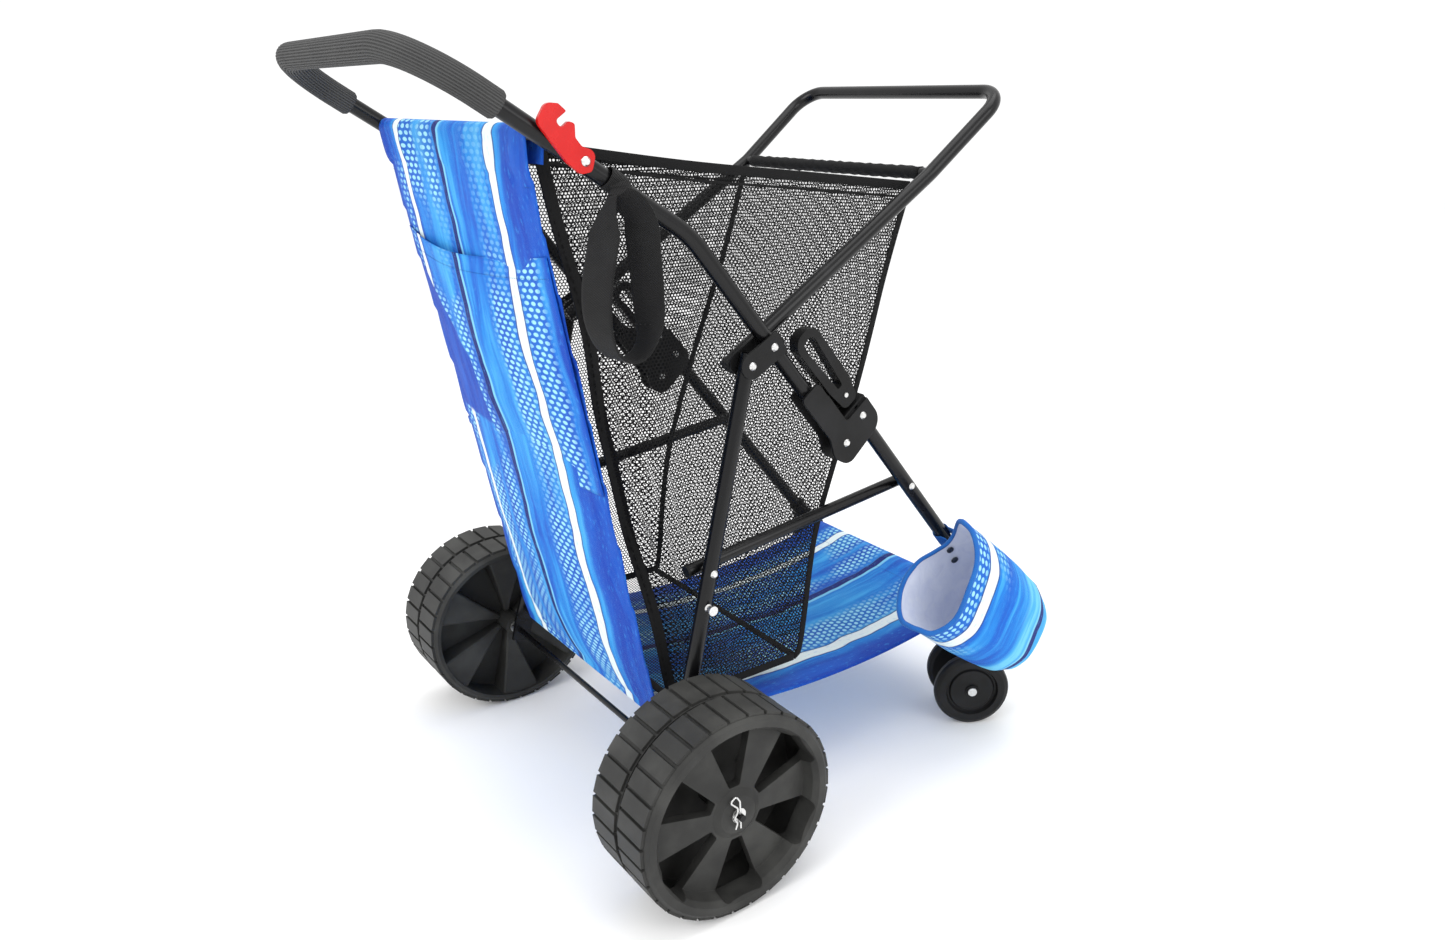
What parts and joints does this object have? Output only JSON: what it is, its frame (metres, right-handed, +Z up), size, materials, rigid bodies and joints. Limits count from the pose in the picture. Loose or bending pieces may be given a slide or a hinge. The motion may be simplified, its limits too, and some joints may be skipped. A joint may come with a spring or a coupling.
{
  "type": "folding beach cart",
  "caption": "Folding beach cart: foam-grip handle, front hoop, open mesh tote with a printed back panel, sling platform, bottle pouch, broad moulded rear wheels and swivel casters.",
  "frame": {"origin": "on the ground, at the middle of the cart's footprint box", "axes": "+Z up, +Y forward towards the casters, +X to the right when facing forward, along the axle"},
  "size_m": [0.738, 0.816, 0.9491],
  "materials": {
    "tube_paint": "gloss black powder coat",
    "grip_foam": "matt ribbed foam",
    "moulded_black": "satin moulded black",
    "tyre_plastic": "satin charcoal moulding",
    "bright_steel": "zinc-plated",
    "red_plastic": "gloss red moulding",
    "mesh_cloth": "open black mesh",
    "printed_cloth": "woven polyester with a blue stripe print",
    "pouch_cloth": "padded polyester, blue stripe print, foil-grey lining",
    "webbing": "woven webbing"
  },
  "bodies": {
    "handle_frame": {"handle_tube": "tube_paint", "foam_grip": "grip_foam", "pivot_plate_outer_right": "moulded_black", "pivot_plate_outer_left": "moulded_black", "pivot_plate_inner_right": "moulded_black", "pivot_plate_inner_left": "moulded_black", "bracket_rivets": "bright_steel", "bag_rear_bar": "tube_paint", "back_panel": "printed_cloth", "mesh_bag": "mesh_cloth", "carry_strap": "webbing", "hook_rivet": "bright_steel"},
    "hoop": {"hoop_tube": "tube_paint", "hoop_end_plugs": "moulded_black", "bag_front_bar": "tube_paint"},
    "front_legs": {"front_tube_right": "tube_paint", "front_tube_left": "tube_paint", "front_tube_rivets": "bright_steel", "hinge_housing_right": "moulded_black", "hinge_housing_left": "moulded_black", "housing_rivets": "bright_steel", "lever_pins": "bright_steel", "platform_front_bar": "tube_paint", "caster_socket_right": "moulded_black", "caster_socket_left": "moulded_black", "bottle_pouch": "pouch_cloth"},
    "rear_legs": {"rear_leg_right": "tube_paint", "rear_leg_left": "tube_paint", "brace_rivets": "bright_steel", "storage_stud": "bright_steel", "axle": "tube_paint", "axle_washers": "bright_steel", "hitch_pins": "bright_steel", "platform_rear_bar": "tube_paint"},
    "brace_right": {"side_brace_right": "tube_paint", "brace_plugs_right": "moulded_black"},
    "brace_left": {"side_brace_left": "tube_paint", "brace_plugs_left": "moulded_black"},
    "platform": {"platform_sling": "printed_cloth"},
    "rear_wheel_right": {"rear_wheel_right": "tyre_plastic"},
    "rear_wheel_left": {"rear_wheel_left": "tyre_plastic"},
    "caster_right": {"caster_fork_right": "moulded_black", "caster_axle_right": "bright_steel"},
    "caster_left": {"caster_fork_left": "moulded_black", "caster_axle_left": "bright_steel"},
    "release_lever_right": {"release_lever_right": "moulded_black"},
    "release_lever_left": {"release_lever_left": "moulded_black"},
    "storage_hook": {"storage_hook": "red_plastic"},
    "caster_wheel_right_a": {"caster_wheel_right_a": "tyre_plastic"},
    "caster_wheel_right_b": {"caster_wheel_right_b": "tyre_plastic"},
    "caster_wheel_left_a": {"caster_wheel_left_a": "tyre_plastic"},
    "caster_wheel_left_b": {"caster_wheel_left_b": "tyre_plastic"}
  },
  "joints": [
    {"name": "fold", "type": "hinge", "parent": "handle_frame", "child": "front_legs", "pos_m": [0, 0.0817, 0.4865], "axis": [1, 0, 0], "range_deg": [-153.2, 0], "deforming": ["back_panel", "platform_sling", "carry_strap"]},
    {"name": "rear_leg_swing", "type": "hinge", "parent": "handle_frame", "child": "rear_legs", "pos_m": [0, -0.0554, 0.6037], "axis": [1, 0, 0], "range_deg": [-117.6, 0]},
    {"name": "brace_right_swing", "type": "hinge", "parent": "rear_legs", "child": "brace_right", "pos_m": [0.203, -0.1164, 0.363], "axis": [1, 0, 0], "range_deg": [0, 55.4]},
    {"name": "brace_left_swing", "type": "hinge", "parent": "rear_legs", "child": "brace_left", "pos_m": [-0.203, -0.1164, 0.363], "axis": [1, 0, 0], "range_deg": [0, 55.4]},
    {"name": "platform_swing", "type": "hinge", "parent": "rear_legs", "child": "platform", "pos_m": [0, -0.1662, 0.167], "axis": [1, 0, 0], "range_deg": [0, 41.2]},
    {"name": "hoop_swing", "type": "hinge", "parent": "handle_frame", "child": "hoop", "pos_m": [0, -0.0243, 0.6215], "axis": [1, 0, 0], "range_deg": [0, 96], "deforming": ["mesh_bag"]},
    {"name": "hook_swing", "type": "hinge", "parent": "handle_frame", "child": "storage_hook", "pos_m": [0.225, -0.24189, 0.83277], "axis": [1, 0, 0], "range_deg": [0, 104]},
    {"name": "lever_right_press", "type": "hinge", "parent": "front_legs", "child": "release_lever_right", "pos_m": [0.225, 0.08428, 0.54644], "axis": [1, 0, 0], "range_deg": [-15, 0], "stiffness_Nm_per_rad": 0.5, "springref_deg": 17.19},
    {"name": "wheel_right_spin", "type": "hinge", "parent": "rear_legs", "child": "rear_wheel_right", "pos_m": [0.3, -0.1762, 0.127], "axis": [1, 0, 0], "continuous": true},
    {"name": "caster_right_swivel", "type": "hinge", "parent": "front_legs", "child": "caster_right", "pos_m": [0.228, 0.3598, 0.14], "axis": [0, 0, 1], "continuous": true},
    {"name": "caster_wheel_right_a_spin", "type": "hinge", "parent": "caster_right", "child": "caster_wheel_right_a", "pos_m": [0.21366, 0.33932, 0.056], "axis": [0.8192, -0.5736, 0], "continuous": true},
    {"name": "caster_wheel_right_b_spin", "type": "hinge", "parent": "caster_right", "child": "caster_wheel_right_b", "pos_m": [0.21366, 0.33932, 0.056], "axis": [0.8192, -0.5736, 0], "continuous": true},
    {"name": "lever_left_press", "type": "hinge", "parent": "front_legs", "child": "release_lever_left", "pos_m": [-0.225, 0.08428, 0.54644], "axis": [1, 0, 0], "range_deg": [-15, 0], "stiffness_Nm_per_rad": 0.5, "springref_deg": 17.19},
    {"name": "wheel_left_spin", "type": "hinge", "parent": "rear_legs", "child": "rear_wheel_left", "pos_m": [-0.3, -0.1762, 0.127], "axis": [1, 0, 0], "continuous": true},
    {"name": "caster_left_swivel", "type": "hinge", "parent": "front_legs", "child": "caster_left", "pos_m": [-0.228, 0.3598, 0.14], "axis": [0, 0, 1], "continuous": true},
    {"name": "caster_wheel_left_a_spin", "type": "hinge", "parent": "caster_left", "child": "caster_wheel_left_a", "pos_m": [-0.24234, 0.33932, 0.056], "axis": [0.8192, -0.5736, 0], "continuous": true},
    {"name": "caster_wheel_left_b_spin", "type": "hinge", "parent": "caster_left", "child": "caster_wheel_left_b", "pos_m": [-0.24234, 0.33932, 0.056], "axis": [0.8192, -0.5736, 0], "continuous": true}
  ],
  "couplings": [
    {"joint": "rear_leg_swing", "follows": "fold", "ratio": 0.7669},
    {"joint": "brace_right_swing", "follows": "fold", "ratio": -0.3613},
    {"joint": "brace_left_swing", "follows": "fold", "ratio": -0.3613},
    {"joint": "platform_swing", "follows": "fold", "ratio": -0.2682}
  ]
}
